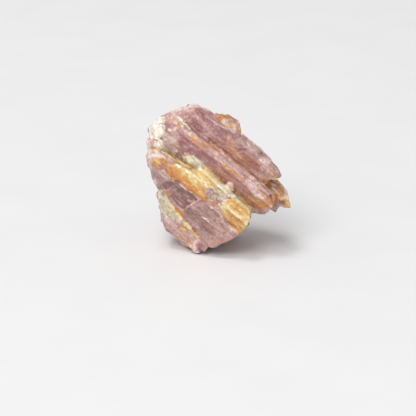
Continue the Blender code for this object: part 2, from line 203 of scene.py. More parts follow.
# Strokes as the camera sees them: mineral, strength, width in picture points, and lines or spots in picture
# points
STROKES = {
    # the crown and the crest at the top
    "crown_blush": ("crimson", 0.5, 5, [(184, 117), (193, 114)], [(198, 114), (202, 117)]),
    "crown_rust": ("copper", 0.9, 3.2, [(195, 107), (203, 108)]),
    "crown_white": ("white", 0.7, 4, [(186, 106), (194, 103), (204, 106)]),
    "crown_rim": ("frost", 0.9, 5, [(174, 111), (184, 107), (192, 104), (203, 106)]),
    "crown_edge": ("frost", 0.8, 1.8, [(199, 111), (197, 119)]),
    "crown_spots": ("russet", 0.8, 2.2, [(195, 111)], [(188, 118)]),
    "top_frost": ("frost", 0.8, 3.2, [(204, 108), (212, 111)]),
    "top_rust": ("copper", 0.7, 2.6, [(211, 112), (216, 114)]),
    "top_rose": ("rose", 0.3, 4, [(204, 113), (214, 119)]),
    "crest_yellow": ("honey", 0.9, 3.8, [(219, 113), (222, 117)], [(236, 127), (239, 131)]),
    "crest_amber": ("amber", 0.9, 3.8, [(225, 115), (230, 117)], [(226, 124), (231, 128)],
        [(219, 119), (222, 121)]),
    "crest_rose": ("rose", 0.9, 3.6, [(228, 120), (231, 119)], [(235, 127), (236, 130)]),
    "crest_russet": ("russet", 0.8, 2, [(219, 121), (224, 126)], [(231, 116), (236, 121)]),
    "crest_pale": ("frost", 0.6, 7, [(224, 122), (233, 129)]),
    "crest_frost": ("frost", 0.7, 3, [(237, 121), (240, 126)]),
    # the broad upper face
    "upper_wine": ("crimson", 1, 6, [(197, 112), (206, 119), (214, 127)], [(191, 121), (200, 128)]),
    "upper_wine_low": ("crimson", 0.9, 5, [(216, 129), (223, 134)], [(210, 139), (216, 141)],
        [(222, 134), (230, 139)]),
    "upper_rose": ("rose", 0.3, 3.6, [(202, 133), (208, 139)]),
    "upper_ridge": ("frost", 0.8, 1.4, [(205, 116), (210, 120), (218, 125), (226, 129)]),
    "upper_spot": ("white", 0.9, 2.6, [(228, 130)]),
    "upper_russet": ("russet", 0.6, 6, [(212, 140), (222, 145), (232, 154)]),
    "upper_copper": ("copper", 0.6, 5, [(228, 137), (236, 147), (240, 154)]),
    "upper_blush": ("rose", 0.3, 4, [(235, 136), (239, 141)]),
    # painted shade: a dark russet line in the crease along the rod's upper edge
    "groove_painted_shade": ("russet", 0.7, 2, [(231, 159), (245, 171), (257, 179)]),
    # the nose at the right, its shoulder and the hollow under it
    "nose_edge": ("ash", 0.6, 3, [(247, 141), (256, 147), (266, 155)]),
    "nose_plum": ("plum", 0.6, 6, [(237, 146), (246, 154)]),
    "nose_wine": ("crimson", 1, 3.4, [(240, 150), (246, 151)]),
    "nose_russet": ("russet", 0.7, 7, [(246, 158), (258, 166)]),
    # painted shade: dark spots under the nose
    "nose_painted_shade": ("umber", 0.8, 2, [(251, 165), (253, 165)], [(257, 163)]),
    "nose_frost": ("frost", 0.8, 2, [(247, 143), (249, 145)], [(257, 153)], [(262, 155)]),
    "nose_cream": ("cream", 0.9, 2.2, [(258, 145), (262, 150)]),
    "shoulder_frost": ("frost", 0.6, 5, [(262, 160), (268, 162)], [(269, 158)]),
    "shoulder_dusk": ("dusk", 0.6, 3.6, [(264, 170), (268, 174)]),
    "shoulder_mauve": ("mauve", 0.7, 3, [(270, 166), (277, 174)]),
    "shoulder_low": ("apricot", 0.8, 4, [(272, 178), (280, 178)]),
    "shoulder_rust": ("copper", 0.6, 4, [(270, 175), (279, 177)]),
    "shoulder_dark": ("russet", 0.6, 2, [(262, 177), (268, 180), (274, 182)]),
    "shoulder_glow": ("salmon", 0.7, 5, [(252, 170), (262, 178)]),
    # painted shade: dark russet streaks in the hole
    "cavity_painted_shade": ("russet", 0.6, 1.8, [(261, 181), (265, 184)], [(268, 184), (273, 187)],
        [(273, 181), (278, 185)]),
    "cavity_amber": ("amber", 0.9, 7, [(266, 184), (273, 188), (281, 194)]),
    "cavity_rust": ("copper", 0.8, 2.4, [(272, 189), (276, 192)], [(279, 185), (283, 190)]),
    # partly painted light: pale frost that brightens the shaded hollow
    "cavity_pale": ("frost", 0.8, 2.4, [(273, 187), (279, 195)], [(262, 183), (265, 186)]),
    "edge_frost": ("frost", 0.9, 4.4, [(283, 183), (286, 190), (288, 198)]),
    "edge_salmon": ("salmon", 0.7, 3, [(278, 186), (283, 195)], [(284, 200), (288, 202)]),
    "low_rose": ("rose", 0.8, 7, [(272, 207), (277, 205)]),
    "tip_russet": ("russet", 0.9, 3.6, [(280, 202), (286, 203)]),
    "tip_yellow": ("honey", 1, 3.8, [(286, 202), (292, 207)]),
    # the strip of grains under the seam
    "strip_white": ("white", 0.7, 3, [(179, 118), (185, 125)]),
    "strip_grey": ("grey", 0.8, 2.8, [(185, 122), (190, 129)]),
    "strip_end": ("mauve", 0.7, 4.6, [(199, 141), (208, 149)]),
    "strip_mauve": ("mauve", 0.7, 3, [(186, 128), (190, 131)], [(208, 146), (214, 150)]),
    "vein": ("honey", 0.8, 1.6, [(173, 119), (178, 124), (181, 128)]),
    "vein_amber": ("amber", 0.7, 1.4, [(175, 120)], [(178, 124), (182, 129)]),
    "strip_yellow": ("honey", 0.3, 3, [(191, 135), (197, 139)]),
    "strip_amber": ("amber", 0.7, 2.4, [(191, 138), (199, 144)], [(201, 146), (205, 148)],
        [(217, 151), (221, 154)]),
    "seam_rim": ("amber", 0.8, 1.8, [(207, 143), (216, 150)]),
    "seam_dark": ("russet", 0.9, 1.4, [(186, 122), (190, 127), (200, 137), (208, 142)],
        [(222, 155), (224, 157)]),
    # the rod and its flank
    "rod_upper_line": ("salmon", 0.9, 2.2, [(208, 149), (218, 153), (230, 159), (247, 172), (258, 181),
        (264, 188)]),
    "rod_copper": ("copper", 0.7, 5, [(227, 168), (235, 173), (243, 179)]),
    "rod_frost": ("frost", 0.8, 5, [(249, 181), (256, 188)]),
    "rod_start": ("salmon", 0.8, 6, [(217, 156), (226, 162)]),
    "rod_white": ("white", 0.5, 2.2, [(249, 176)], [(262, 198), (268, 202)]),
    "rod_dark": ("mauve", 0.9, 1.6, [(247, 184)], [(248, 179)], [(254, 187)], [(231, 168)]),
    "rod_end_salmon": ("salmon", 0.8, 6, [(260, 191), (268, 197)]),
    "rod_end_lines": ("russet", 0.8, 1, [(261, 190), (268, 198)], [(265, 189), (270, 194)]),
    "rod_low_line": ("copper", 0.8, 2.4, [(223, 164), (232, 174), (240, 184)], [(246, 190), (254, 198)]),
    "rod_end_rust": ("copper", 0.9, 5, [(250, 199), (262, 201)]),
    "rod_rim": ("copper", 1, 3.4, [(261, 205), (269, 205), (275, 200), (275, 195)]),
    "rod_ring": ("amber", 1, 3, [(258, 206), (268, 206), (275, 201), (276, 196)]),
    "rod_pocket": ("russet", 1, 3, [(271, 196), (272, 201)]),
    "rod_tip_amber": ("amber", 0.5, 5, [(260, 203), (272, 199)]),
    "rod_tip_rust": ("copper", 0.8, 4, [(262, 202), (270, 202)]),
    "rod_low_salmon": ("salmon", 0.8, 4, [(257, 209), (267, 211)]),
    "flank_wine": ("crimson", 0.9, 6.6, [(200, 154), (214, 164)]),
    "flank_rose": ("rose", 0.3, 3, [(206, 165), (211, 169)]),
    "flank_lines": ("rose", 0.6, 1.1, [(214, 170), (221, 176)], [(218, 166), (229, 178)]),
    # painted shadow: a dark line above the blade and beside the nub
    "flank_painted_shadow": ("umber", 0.4, 2, [(208, 166), (216, 174), (223, 183)], [(234, 181), (239, 187)]),
    "flank_low": ("salmon", 0.5, 5, [(238, 190), (248, 200)]),
    "flank_rim": ("amber", 0.8, 2, [(230, 193), (240, 200), (250, 209)]),
    "nub": ("rose", 1, 6, [(228, 185), (231, 186)]),
    "nub_frost": ("frost", 0.8, 3, [(226, 187), (229, 183)]),
    "nub_copper": ("copper", 1, 2.4, [(231, 184)]),
    "nub_amber": ("amber", 1, 2.2, [(234, 184)]),
    "nub_glow": ("apricot", 0.8, 3.6, [(229, 190), (238, 193)]),
    # the left crystal and the groove below it
    "left_white": ("white", 0.9, 2.4, [(175, 113)], [(171, 118)], [(178, 121)]),
    "left_wine": ("crimson", 0.7, 4.6, [(166, 124), (174, 127)]),
    "left_russet": ("russet", 0.8, 2.4, [(164, 127), (170, 132)]),
    "left_frost": ("frost", 0.8, 3, [(170, 130), (177, 128)], [(168, 140), (171, 142)]),
    "left_copper": ("copper", 0.5, 2.6, [(169, 135), (176, 134)]),
    "left_line": ("crimson", 1, 2.4, [(177, 130), (184, 137), (192, 144)]),
    "left_wine_low": ("crimson", 0.7, 7, [(181, 141), (190, 149)], [(194, 147), (200, 153)]),
    "left_salmon": ("salmon", 0.6, 8, [(168, 146), (177, 147)]),
    "left_spot": ("white", 0.8, 3, [(175, 142)]),
    "left_bloom": ("frost", 0.9, 6, [(165, 136), (173, 140)]),
    "left_rose": ("rose", 0.6, 3, [(184, 147), (190, 147)]),
    "left_low_russet": ("russet", 0.3, 4, [(184, 152), (199, 157)]),
    "head_spot": ("umber", 0.4, 2.6, [(166, 137)]),
    "head_edge": ("grey", 0.6, 3.6, [(163, 119), (164, 127), (162, 137)]),
    "head_shade": ("olive", 0.4, 3, [(152, 130), (154, 138)]),
    "head_yellow": ("honey", 0.4, 3.4, [(154, 141), (158, 141)], [(153, 148), (155, 145)],
        [(160, 146), (166, 149)]),
    "head_green": ("olive", 0.9, 2.4, [(158, 144), (163, 147)], [(168, 151), (174, 153)]),
    "head_frost": ("frost", 0.9, 6, [(149, 142), (148, 152), (157, 153)]),
    "head_grey": ("grey", 1, 5, [(156, 145), (165, 149), (175, 152)]),
    # painted shade: dark spots deep in the groove below the left crystal
    "pits_painted_shade": ("umber", 0.3, 2, [(169, 153)], [(179, 152)], [(175, 155), (183, 160)]),
    "pit_olive": ("olive", 0.8, 2.4, [(178, 157), (181, 158)], [(173, 153)]),
    # the grey matrix between the left crystal and the band
    "gap_cream": ("cream", 0.6, 2.6, [(187, 157), (190, 160)]),
    "gap_white": ("white", 0.9, 2.6, [(193, 157), (197, 161)], [(199, 166), (201, 169)]),
    "gap_olive": ("olive", 0.8, 2.6, [(185, 159), (187, 163)], [(190, 165), (192, 166)]),
    "gap_shade": ("olive", 0.5, 5, [(186, 162), (196, 168)]),
    "gap_mauve": ("mauve", 0.8, 3.6, [(199, 156), (206, 162)]),
    # the yellow band and the blade along its upper edge
    "stain_cream": ("cream", 0.5, 5, [(152, 161), (158, 163)]),
    "stain_frost": ("frost", 0.7, 4, [(149, 157), (154, 157), (162, 157)]),
    "stain_amber": ("amber", 0.9, 3, [(153, 161), (156, 166)], [(162, 160), (167, 163)],
        [(160, 169), (167, 171)]),
    "stain_mauve": ("mauve", 0.7, 3, [(158, 167), (162, 166)]),
    "band_spots": ("salmon", 0.9, 2.6, [(154, 152)], [(159, 155)], [(163, 158)]),
    "band_left": ("rose", 0.8, 3, [(147, 156), (149, 161), (151, 168)]),
    "rim_line": ("cream", 0.8, 1.8, [(153, 150), (158, 150), (165, 153), (170, 157), (177, 161), (190, 167)]),
    "band_mauve": ("mauve", 0.8, 5, [(162, 167), (165, 169)]),
    "band_salmon": ("salmon", 0.7, 4.6, [(169, 161), (174, 163)]),
    "band_pale": ("cream", 0.6, 6, [(176, 166), (181, 168)]),
    "band_white": ("white", 0.8, 3.6, [(177, 166), (180, 167)]),
    "band_amber": ("amber", 0.6, 4, [(174, 174), (180, 178)], [(171, 168), (172, 172)],
        [(187, 171), (188, 175)]),
    "band_tan": ("amber", 0.6, 8, [(175, 171), (184, 178)]),
    "band_low": ("amber", 0.7, 7, [(185, 182), (196, 190)]),
    "band_glow": ("cream", 0.5, 4, [(190, 172), (196, 178)]),
    "band_warm": ("amber", 0.5, 3.6, [(187, 178), (192, 183)], [(199, 184), (203, 190)]),
    "band_chips": ("white", 0.7, 2, [(186, 170), (188, 172)], [(197, 179)], [(205, 184), (207, 187)]),
    "band_upper_line": ("amber", 0.8, 2.2, [(183, 167), (190, 169)]),
    "band_low_rim": ("amber", 0.8, 2.8, [(171, 174), (177, 181), (184, 184), (190, 190), (198, 196),
        (205, 201)]),
    "blade": ("cream", 1, 5.4, [(205, 169), (214, 178), (222, 186), (232, 194), (241, 200), (250, 210)]),
    "blade_honey": ("honey", 0.8, 2.4, [(204, 168), (212, 174), (221, 182)], [(209, 184), (213, 187)]),
    # painted highlights: white marks along the blade's upper edge
    "blade_painted_highlights": ("white", 0.9, 3.2, [(219, 185), (227, 188)], [(230, 195), (240, 200)], [(212, 181)]),
    "blade_olive": ("olive", 0.7, 2.2, [(221, 191), (226, 197)], [(232, 193), (239, 199)], [(208, 186)]),
    "matrix_white": ("white", 0.6, 2.6, [(212, 192), (215, 195)], [(219, 204), (223, 203)]),
    "matrix_dusk": ("dusk", 0.7, 8, [(210, 193), (221, 200)]),
    "matrix_olive": ("olive", 0.9, 4, [(209, 198), (219, 197)]),
    "matrix_amber": ("amber", 0.7, 3, [(212, 203), (217, 206)]),
    "matrix_salmon": ("salmon", 0.9, 3.6, [(205, 193), (208, 194)], [(205, 203), (209, 204)],
        [(216, 207), (222, 212)]),
    "block_cream": ("cream", 0.9, 4, [(224, 207), (230, 205)]),
    "block_frost": ("frost", 0.8, 3, [(222, 199), (228, 203)]),
    # partly painted highlight: a cream line along the block's lit ridge
    "block_ridge": ("cream", 1, 2.2, [(228, 208), (240, 219), (247, 227)]),
    "block_amber": ("amber", 0.8, 4, [(240, 227), (243, 231)], [(237, 220), (246, 225)]),
    "block_lines": ("amber", 0.8, 2, [(231, 205), (243, 215)], [(238, 204), (247, 212)]),
    "block_corner": ("honey", 0.7, 5, [(240, 226), (248, 222)]),
    "block_pale": ("cream", 0.4, 4, [(226, 202), (232, 206)], [(240, 209), (246, 215)]),
    # painted shade: a dark russet band on the block's lower facet
    "block_painted_shade": ("russet", 0.6, 2.4, [(224, 220), (236, 227)]),
    "block_rim": ("cream", 0.9, 3.2, [(246, 205), (251, 211), (250, 219), (247, 225)]),
    # the dark crystal
    "dark_ash": ("ash", 0.6, 6, [(163, 173), (169, 178)]),
    "dark_spots": ("crimson", 0.9, 2.4, [(157, 177)], [(160, 179)], [(163, 186)]),
    "dark_left_frost": ("frost", 0.8, 2.6, [(155, 181), (156, 183)]),
    "dark_band": ("plum", 0.9, 5, [(161, 187), (170, 184), (178, 183)]),
    "dark_bevel": ("rose", 0.6, 1.6, [(170, 194), (175, 190)]),
    "dark_rim": ("frost", 0.5, 2, [(181, 184), (187, 189), (193, 195), (199, 199)]),
    "dark_heart": ("plum", 1, 5, [(175, 194), (178, 198)], [(183, 204), (187, 207)]),
    "dark_pale": ("dusk", 0.7, 3.6, [(184, 193), (188, 197)]),
    "dark_ash_lines": ("ash", 0.6, 1.6, [(176, 192), (180, 196)], [(188, 200), (193, 203)],
        [(180, 202), (182, 205)]),
    "dark_left_rim": ("rose", 0.7, 2.2, [(171, 199), (177, 206), (183, 212)]),
    "bevel_line": ("frost", 0.5, 1.6, [(185, 210), (191, 204), (200, 199)]),
    # the crystal below it
    "lower_plum": ("plum", 0.8, 6, [(187, 211), (194, 218)]),
    "foot_warm": ("salmon", 0.5, 5, [(224, 236), (232, 233)], [(194, 246), (199, 248)]),
    "lower_rose": ("rose", 0.5, 4, [(193, 205), (203, 203)]),
    "lower_plum_wide": ("plum", 0.4, 10, [(196, 214), (206, 221)]),
    "lower_streak": ("frost", 0.6, 2.4, [(202, 217), (206, 219), (212, 224)]),
    "lower_spots": ("crimson", 0.9, 2.2, [(203, 208)], [(204, 221)], [(212, 227)]),
    "lower_plum_low": ("plum", 0.5, 7, [(203, 227), (211, 231)]),
    "lower_edge": ("frost", 0.8, 2, [(211, 206), (216, 211), (222, 217)]),
    "lower_edge_rust": ("russet", 0.8, 1.6, [(212, 209), (220, 216)]),
    "lower_ash": ("ash", 0.5, 7, [(221, 221), (228, 230)]),
    "lower_right": ("frost", 0.7, 4.6, [(230, 228), (236, 231)]),
    "lower_frost": ("frost", 1, 2.6, [(228, 237)]),
    "lower_rust": ("copper", 0.8, 2.4, [(222, 238)], [(207, 247), (213, 243), (218, 241), (226, 240)]),
    # the foot
    "foot_rose": ("rose", 0.9, 3, [(165, 197)]),
    "foot_shade": ("olive", 0.7, 7, [(164, 198), (171, 212)]),
    "foot_nub": ("copper", 1, 3.4, [(158, 197)]),
    "foot_upper_rim": ("amber", 0.8, 1.8, [(166, 191), (170, 197)]),
    "foot_mauve": ("mauve", 0.7, 2, [(169, 198), (175, 205)]),
    "foot_olive": ("olive", 0.9, 3, [(173, 212), (175, 215)], [(166, 205), (167, 209)]),
    "foot_dark": ("umber", 0.6, 2.4, [(174, 213)]),
    "foot_cream": ("cream", 0.9, 2.8, [(171, 205), (174, 208)], [(177, 214), (181, 219)]),
    "foot_amber": ("amber", 1, 2.8, [(176, 208), (181, 213), (183, 217)]),
    "foot_rust": ("russet", 0.9, 2.6, [(187, 221), (192, 227), (196, 231)]),
    "foot_low_cream": ("cream", 1, 5, [(186, 224), (190, 228)]),
    "foot_honey": ("honey", 0.9, 3, [(181, 227), (184, 230)], [(192, 232), (199, 237)]),
    "foot_wine": ("crimson", 0.5, 4, [(165, 226), (169, 231)], [(175, 226)]),
    "foot_edge": ("frost", 0.8, 3, [(173, 237), (183, 245)]),
    "foot_spot": ("crimson", 0.8, 2.4, [(185, 242)], [(190, 244)]),
    "toe_warm": ("apricot", 0.6, 5, [(187, 245), (196, 248)]),
    "toe_wine": ("crimson", 0.4, 5, [(199, 246), (202, 250)]),
    "toe_frost": ("frost", 0.8, 3, [(194, 243), (198, 240)], [(194, 249), (198, 252)]),
    "toe_rim": ("amber", 0.8, 2.2, [(185, 246), (192, 250)]),
}

# Cuts and rises as the camera sees them: depth in millimetres (below nought for a rise), width in picture
# points, and a line in picture points
CUTS = {
    "upper_seam": (0.5, 2.4, [(184, 121), (190, 127), (208, 142), (224, 157)]),
    "groove": (0.5, 4, [(226, 153), (240, 166), (258, 180)]),
    "left_pits": (0.4, 4, [(169, 154), (181, 157)]),
    "hollow": (0.3, 3, [(262, 181), (268, 184), (275, 187)]),
    "nose_pit": (0.5, 3.4, [(240, 150), (245, 151)]),
    "band_under": (0.5, 2.6, [(172, 176), (190, 190), (204, 202)]),
    "pocket": (0.7, 3.4, [(271, 196), (272, 201)]),
    "block_side": (0.5, 4, [(225, 217), (240, 230)]),
    "rim_line": (-0.35, 2.4, [(153, 151), (165, 153), (177, 161), (190, 168)]),
    "upper_ridge": (-0.25, 2, [(205, 116), (218, 125), (228, 130)]),
    "bevel_line": (-0.25, 2, [(185, 210), (200, 199)]),
    "block_ridge": (-0.5, 3, [(228, 208), (240, 219), (248, 228)]),
    "rod_upper_line": (-0.3, 3, [(218, 153), (230, 159), (247, 172), (262, 185)]),
}


# Steady noise, worked out for many points at once


def random_of_cell(cell, seed):
    """A number from 0 to 1 that depends only on the whole-number cell and the seed."""
    parts = cell.astype(np.int64).astype(np.uint64)
    parts *= np.array((73856093, 19349663, 83492791), np.uint64)
    mixed = np.bitwise_xor.reduce(parts, axis=-1) + np.uint64(seed * 7919 + 1)
    for shift, factor in ((33, 0xFF51AFD7ED558CCD), (29, 0xC4CEB9FE1A85EC53)):
        mixed ^= mixed >> np.uint64(shift)
        mixed *= np.uint64(factor)
    mixed ^= mixed >> np.uint64(32)
    return (mixed >> np.uint64(11)).astype(float) / 2.0**53


def smooth_noise(points, size, seed):
    """Noise from -1 to 1 whose waves are about as long as size."""
    place = points / np.array(size)
    low = np.floor(place)
    share = place - low
    share = share * share * (3.0 - 2.0 * share)
    total = np.zeros(len(points))
    for corner in itertools.product((0.0, 1.0), repeat=3):
        weight = np.prod(np.where(np.array(corner) > 0, share, 1.0 - share), axis=1)
        total += weight * random_of_cell(low + np.array(corner), seed)
    return total * 2.0 - 1.0


def layered_noise(points, size, seed, layers=3):
    total = np.zeros(len(points))
    for layer in range(layers):
        total += smooth_noise(points, np.array(size) / 2.0**layer, seed + layer) / 2.0**layer
    return total


def wander(points, size, seeds, layers=1):
    """One noise for each seed, side by side."""
    return np.stack([layered_noise(points, size, seed, layers) for seed in seeds], axis=1)


def cell_pattern(points, size, seed):
    """Cells grown from scattered points: how near the cell's own point is, the cell's random number, and
    the height of a tilted flat through it."""
    place = points / np.array(size)
    low = np.floor(place)
    nearest = np.full(len(points), 9.0)
    level = np.zeros(len(points))
    tilt = np.zeros(len(points))
    for offset in itertools.product((-1.0, 0.0, 1.0), repeat=3):
        cell = low + np.array(offset)
        inside = np.stack([random_of_cell(cell, seed + side) for side in range(3)], axis=1)
        away = place - cell - inside
        gap = np.linalg.norm(away, axis=1)
        closer = gap < nearest
        nearest = np.where(closer, gap, nearest)
        level = np.where(closer, random_of_cell(cell, seed + 3), level)
        slant = np.stack([random_of_cell(cell, seed + side) for side in (4, 5, 6)], axis=1) * 2.0 - 1.0
        tilt = np.where(closer, np.sum(slant * away, axis=1), tilt)
    return nearest, level, tilt


def step(value, low, high):
    """Rises smoothly from 0 at low to 1 at high."""
    part = np.clip((value - low) / (high - low), 0.0, 1.0)
    return part * part * (3.0 - 2.0 * part)


# Where a point of the surface is


def read_values(items, name, width, kind=float):
    values = np.empty(len(items) * width, kind)
    items.foreach_get(name, values)
    return values.reshape(-1, width)


def read_mesh(mesh):
    places = read_values(mesh.vertices, "co", 3)
    normals = read_values(mesh.vertices, "normal", 3)
    return places, normals, read_values(mesh.edges, "vertices", 2, np.int64)


def to_bundle(places):
    """Metres in the row frame to millimetres along, across and toward."""
    return (places - np.array(BUNDLE_ORIGIN)) @ BUNDLE_AXES.T / MM


def to_picture(places):
    """Where the camera shows each place, in picture points from the upper left."""
    offset = places - np.array(AIM)
    scale = CAMERA_DISTANCE / (CAMERA_DISTANCE - offset @ np.array(TOWARD)) / POINT_SIZE
    across = PICTURE_POINTS / 2 + offset @ np.array(RIGHT) * scale
    down = PICTURE_POINTS / 2 - offset @ np.array(UP) * scale
    return np.stack([across, down], axis=1)


def spread(values, edges, rounds):
    """Averages values with their neighbours along the mesh's edges."""
    count = np.bincount(edges.ravel(), minlength=len(values))
    shape = values.shape
    flat = values.reshape(len(values), -1).copy()
    for _ in range(rounds):
        total = np.empty_like(flat)
        for column in range(flat.shape[1]):
            near = np.bincount(edges[:, 0], flat[edges[:, 1], column], len(flat))
            far = np.bincount(edges[:, 1], flat[edges[:, 0], column], len(flat))
            total[:, column] = (near + far) / count
        flat = (flat + total) / 2
    return flat.reshape(shape)


def seen_from_camera(mesh, places, normals, edges):
    """1 where the camera sees the surface and 0 where it doesn't, with a soft change between."""
    tree = BVHTree.FromPolygons(places.tolist(), [tuple(face.vertices) for face in mesh.polygons])
    eye = AIM + TOWARD * CAMERA_DISTANCE
    seen = np.zeros(len(places))
    facing = np.sum(normals * (np.array(eye) - places), axis=1) > 0.0
    for index in np.flatnonzero(facing):
        start = Vector(places[index])
        ray = (eye - start).normalized()
        if tree.ray_cast(start + ray * CAMERA_GAP, ray)[0] is None:
            seen[index] = 1.0
    return spread(seen, edges, SMOOTH_SEEN)


def line_distance(points, corners, closed=False):
    """Distance from each point to a line through the corners, in any number of directions."""
    corners = np.array(corners, float)
    ends = np.roll(corners, -1, axis=0) if closed else corners[1:]
    nearest = np.full(len(points), 1e9)
    for start, end in zip(corners, ends):
        run = end - start
        place = np.clip((points - start) @ run / (run @ run), 0.0, 1.0)
        nearest = np.minimum(nearest, np.linalg.norm(points - start - place[:, None] * run, axis=1))
    return nearest


def inside_outline(points, corners):
    """Whether each point is inside the closed outline."""
    inside = np.zeros(len(points), bool)
    for (x0, y0), (x1, y1) in zip(corners, corners[1:] + corners[:1]):
        if y0 == y1:
            continue
        crosses = (points[:, 1] < y0) != (points[:, 1] < y1)
        reach = x0 + (points[:, 1] - y0) * (x1 - x0) / (y1 - y0)
        inside ^= crosses & (points[:, 0] < reach)
    return inside


# Which mineral is where


# Where ochre meets pink: how rusty the pink gets, and how much darker the ochre
RIM_RUST = 0.9
RIM_SHADE = 0.3


class Surface:
    """How much of each family of minerals there is at each point, in which tone, and how rusty."""

    def __init__(self, count):
        self.share = {family: np.zeros(count) for family in FAMILIES}
        self.tone = {family: np.full(count, 0.5) for family in FAMILIES}
        self.rust = np.zeros(count)
        self.lay("mauve", np.ones(count))

    def lay(self, mineral, amount):
        """Lays a mineral over what is there already."""
        chosen, tone, rust = MINERALS[mineral]
        for family in FAMILIES:
            self.share[family] = self.share[family] * (1.0 - amount)
        kept = self.share[chosen]
        self.share[chosen] = kept + amount
        self.tone[chosen] = (self.tone[chosen] * kept + tone * amount) / np.maximum(kept + amount, 1e-6)
        self.rust += (rust - self.rust) * amount

    def stain_rims(self):
        """Rust spreads from the ochre into the pink beside it, and the ochre is darker along that rim."""
        ochre = self.share["ochre"]
        bare = self.share["pink"] + self.share["plum"]
        self.rust = np.maximum(self.rust, step(ochre, 0.02, 0.4) * RIM_RUST)
        self.tone["ochre"] -= step(bare, 0.0, 0.6) * RIM_SHADE

    def layered_shares(self):
        """Each family's share of what it and the families before it cover."""
        covered = 0.0
        for family in FAMILIES:
            covered = covered + self.share[family]
            yield family, self.share[family] / np.maximum(covered, 1e-6)


def lay_hidden(surface, bundle, valley):
    """The minerals all round the stone, by their place inside it and by how deep a point lies."""
    rag = layered_noise(bundle, (5.0, 2.0, 2.0), 11, 4)
    noises = {name: layered_noise(bundle, size, seed) for name, (size, seed) in NOISES.items()}
    for mineral, strength, side, name, low, high in PATCHES:
        surface.lay(mineral, step(side * noises[name], low, high) * strength)
    for mineral, strength, ragged, low, high in FILLINGS:
        surface.lay(mineral, step(valley + rag * ragged, low, high) * strength)
    for mineral, radius, points in BODIES.values():
        depth = radius - line_distance(bundle, points) + rag * BODY_RAG
        surface.lay(mineral, step(depth, -BODY_EDGE, BODY_EDGE))


def lay_seen(surface, bundle, picture, seen):
    """The minerals that the camera sees: first the areas, then the strokes over them."""
    bend = wander(bundle, (3.0, 1.6, 1.6), (31, 35), 4)
    bent = picture + bend * BEND
    for mineral, strength, corners in AREAS.values():
        depth = line_distance(bent, corners, closed=True)
        depth = np.where(inside_outline(bent, corners), depth, -depth)
        surface.lay(mineral, step(depth, -AREA_EDGE, AREA_EDGE) * strength * seen)
    for mineral, strength, width, *lines in STROKES.values():
        bent = picture + bend * min(BEND, width * BEND_SHARE)
        distance = np.min([line_distance(bent, line) for line in lines], axis=0)
        edge = STROKE_EDGE + width * EDGE_SHARE
        surface.lay(mineral, step(width / 2 - distance, -edge, edge) * strength * seen)


# The fine relief, in millimetres


# Small flats: size along, across and toward, seed, how far they stand out, and how much they slant
LATHS = ((12.0, 1.8, 1.8), 45, 0.3, 0.3)
CHIPS = ((2.6, 1.4, 1.4), 61, 0.16, 0.24)
BREAKS = ((2.4, 2.2, 2.2), 71, 0.4, 0.6)
# Lines down the crystals
LINE_SIZE = (12.0, 0.75, 0.75)
LINE_DEPTH = 0.08
# Grains: size and seed
COARSE_GRAINS = (1.3, 91)
SMALL_GRAINS = (0.75, 95)
# Feldspar's ledges, and the roughness everywhere
LEDGE_SIZE = (7.0, 2.4, 2.4)
LEDGE_HEIGHT = 0.16
SAND_SIZE = (0.8, 0.8, 0.8)
SAND_HEIGHT = 0.04


def facet_relief(bundle, size, seed, lift, slant):
    """Small flats at all angles, as where crystals and chips of them break off."""
    _, level, tilt = cell_pattern(bundle, size, seed)
    return (level - 0.5) * lift + tilt * slant


def grain_relief(bundle, size, seed):
    """Rounded grains stuck together."""
    nearest, level, _ = cell_pattern(bundle, (size * 1.3, size, size), seed)
    return ((0.45 - nearest) * 0.35 + (level - 0.5) * 0.25) * size


def ledge_relief(bundle):
    """Stairs of flat ledges, as feldspar splits."""
    wave = layered_noise(bundle, LEDGE_SIZE, 111, 2) * 2.2
    ledge = np.floor(wave) + step(wave - np.floor(wave), 0.6, 1.0)
    return ledge * LEDGE_HEIGHT + layered_noise(bundle, (1.6, 0.8, 0.8), 121, 2) * 0.05


def relief(bundle, normals, surface):
    """How far each point moves outward."""
    end_on = step(np.abs(normals @ np.array(ALONG)), 0.5, 0.8)
    bent = bundle + wander(bundle, (14.0, 6.0, 6.0), (41, 42, 43))
    laths = facet_relief(bent, *LATHS) + smooth_noise(bent, LINE_SIZE, 55) * LINE_DEPTH
    chips = facet_relief(bundle, *CHIPS)
    breaks = facet_relief(bundle, *BREAKS)
    rough = step(layered_noise(bundle, (7.0, 3.0, 3.0), 81), -0.4, 0.5)
    crystals = (laths + chips * (0.3 + 0.7 * rough)) * (1.0 - end_on) + (breaks + chips) * end_on
    ledges = ledge_relief(bundle) * (1.0 - end_on) + (breaks * 0.6 + chips) * end_on
    grains = grain_relief(bundle, *COARSE_GRAINS) + grain_relief(bundle, *SMALL_GRAINS) * 0.7
    frosted = step(surface.tone["pink"], 0.4, 0.9) * 0.6 + 0.15
    height = (surface.share["pink"] + surface.share["plum"]) * (crystals + grains * frosted)
    height += surface.share["ochre"] * ledges
    height += surface.share["quartz"] * (chips * 0.8 + grains * 0.6)
    return height + layered_noise(bundle, SAND_SIZE, 131, 2) * SAND_HEIGHT + LIFT


def cut_depth(bundle, picture, seen):
    """How far each point moves away from the camera, where the stone has seams, pits and ridges."""
    bend = wander(bundle, (2.0, 1.0, 1.0), (141, 142))
    total = np.zeros(len(bundle))
    for depth, width, points in CUTS.values():
        distance = line_distance(picture + bend, points)
        total += depth * (1.0 - step(distance, 0.0, width * 0.7))
    return total * step(seen, 0.5, 1.0)


# The stone


